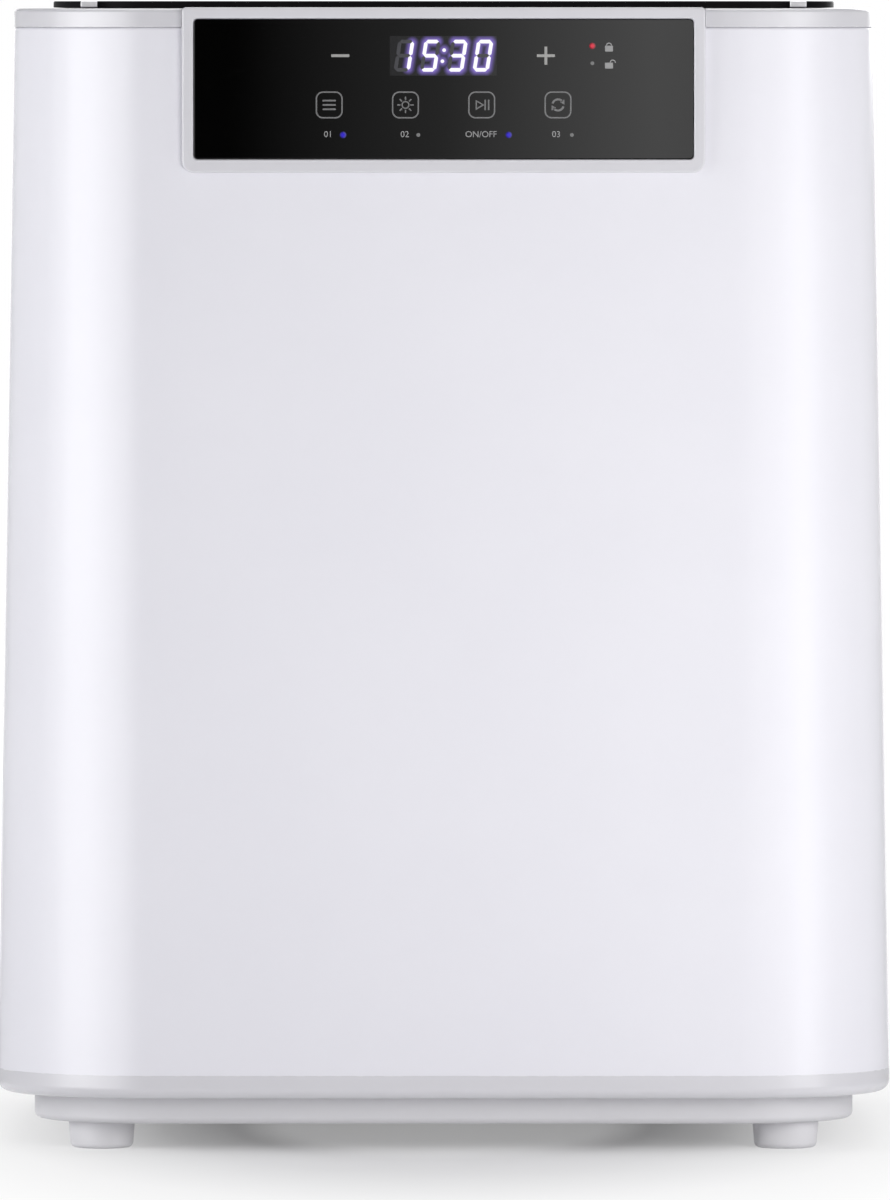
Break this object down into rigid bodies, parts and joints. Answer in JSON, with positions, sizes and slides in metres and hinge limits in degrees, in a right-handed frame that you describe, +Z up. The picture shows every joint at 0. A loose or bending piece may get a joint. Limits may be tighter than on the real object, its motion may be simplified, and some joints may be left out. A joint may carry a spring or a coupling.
{
  "type": "dental lab light curing unit",
  "caption": "Upright tapered light curing box with a touch panel, a hinged tinted lid over a mirror-lined chamber, corner LED bars and a driven turntable.",
  "frame": {"origin": "centre of the footprint, on the surface that the feet stand on", "axes": "+Z up; the front with the touch panel faces -Y; +X is to the right seen from the front"},
  "size_m": [0.26, 0.26, 0.333],
  "materials": {
    "shell_plastic": "high gloss",
    "rim_plastic": "satin silver grey",
    "trim_plastic": "satin",
    "foot_rubber": "moulded, light grey",
    "bezel_plastic": "satin",
    "panel_black_glass": "polished, black-printed behind",
    "lid_black": "gloss",
    "window_tinted": "polished, dark tint",
    "rail_aluminium": "satin anodised",
    "seal_rubber": "moulded",
    "hinge_steel": "zinc plated",
    "screw_steel": "zinc plated",
    "magnet_nickel": "nickel plated",
    "mirror_lining": "polished sheet",
    "plate_steel": "galvanised",
    "bar_aluminium": "satin anodised",
    "led_board_white": "white solder mask",
    "led_lens": "moulded lens",
    "motor_steel": "zinc plated",
    "shaft_steel": "ground",
    "hub_plastic": "moulded",
    "platter_acrylic": "clear acrylic",
    "fan_plastic": "moulded",
    "duct_foam": "foam",
    "inlet_plastic": "moulded",
    "contact_brass": "nickelled",
    "fuse_glass": "polished",
    "rocker_plastic": "moulded",
    "board_green": "solder mask",
    "display_dark": "filter over segments",
    "spring_steel": "plain",
    "indicator_lens": "moulded lens",
    "sensor_plastic": "moulded"
  },
  "bodies": {
    "housing": {"outer_shell": "shell_plastic", "top_rim": "rim_plastic", "bottom_trim": "trim_plastic", "base_tray": "trim_plastic", "foot_front_left": "foot_rubber", "foot_front_right": "foot_rubber", "foot_rear_left": "foot_rubber", "foot_rear_right": "foot_rubber", "foot_screws": "screw_steel", "base_screws": "screw_steel", "base_plate": "plate_steel", "floor_posts": "hinge_steel", "floor_screws": "screw_steel", "chamber_floor": "mirror_lining", "liner_front": "mirror_lining", "liner_rear": "mirror_lining", "liner_sides": "mirror_lining", "led_bar_front_left": "bar_aluminium", "led_bar_front_right": "bar_aluminium", "led_bar_rear_left": "bar_aluminium", "led_bar_rear_right": "bar_aluminium", "led_boards": "led_board_white", "uv_leds": "led_lens", "turntable_motor": "motor_steel", "lid_seal": "seal_rubber", "hinge_brackets": "hinge_steel", "hinge_pins": "shaft_steel", "bracket_screws": "screw_steel", "lid_sensor": "sensor_plastic", "panel_bezel": "bezel_plastic", "panel_glass": "panel_black_glass", "touch_board": "board_green", "display_module": "display_dark", "touch_springs": "spring_steel", "indicator_leds": "indicator_lens", "panel_screws": "screw_steel", "fan_frame": "fan_plastic", "fan_grille": "rim_plastic", "fan_duct": "duct_foam", "fan_screws": "screw_steel", "inlet_plate": "plate_steel", "inlet_screws": "screw_steel", "inlet_body": "inlet_plastic", "inlet_pins": "contact_brass", "switch_body": "inlet_plastic", "power_supply": "board_green", "main_board": "board_green", "board_screws": "screw_steel"},
    "lid": {"lid_frame": "lid_black", "lid_window": "window_tinted", "lid_rail_left": "rail_aluminium", "lid_rail_right": "rail_aluminium", "lid_magnet": "magnet_nickel"},
    "turntable_drive": {"motor_shaft": "shaft_steel", "drive_hub": "hub_plastic"},
    "platter": {"turntable_platter": "platter_acrylic"},
    "fan_rotor": {"fan_impeller": "fan_plastic"},
    "rocker": {"switch_rocker": "rocker_plastic"},
    "fuse_tray": {"fuse_drawer": "inlet_plastic", "fuse": "fuse_glass"}
  },
  "joints": [
    {"name": "lid_hinge", "type": "hinge", "parent": "housing", "child": "lid", "pos_m": [0, 0.11, 0.3276], "axis": [-1, 0, 0], "range_deg": [0, 100]},
    {"name": "turntable_spin", "type": "hinge", "parent": "housing", "child": "turntable_drive", "pos_m": [0, 0, 0.08], "axis": [0, 0, 1], "continuous": true},
    {"name": "platter_lift", "type": "slide", "parent": "turntable_drive", "child": "platter", "axis": [0, 0, 1], "range_m": [0, 0.2]},
    {"name": "fan_spin", "type": "hinge", "parent": "housing", "child": "fan_rotor", "pos_m": [0, 0.112, 0.2], "axis": [0, 1, 0], "continuous": true},
    {"name": "power_rocker", "type": "hinge", "parent": "housing", "child": "rocker", "pos_m": [0.068, 0.12439, 0.05], "axis": [1, 0, 0], "range_deg": [-16, 0]},
    {"name": "fuse_drawer_slide", "type": "slide", "parent": "housing", "child": "fuse_tray", "axis": [0, 1, 0], "range_m": [0, 0.018]}
  ]
}
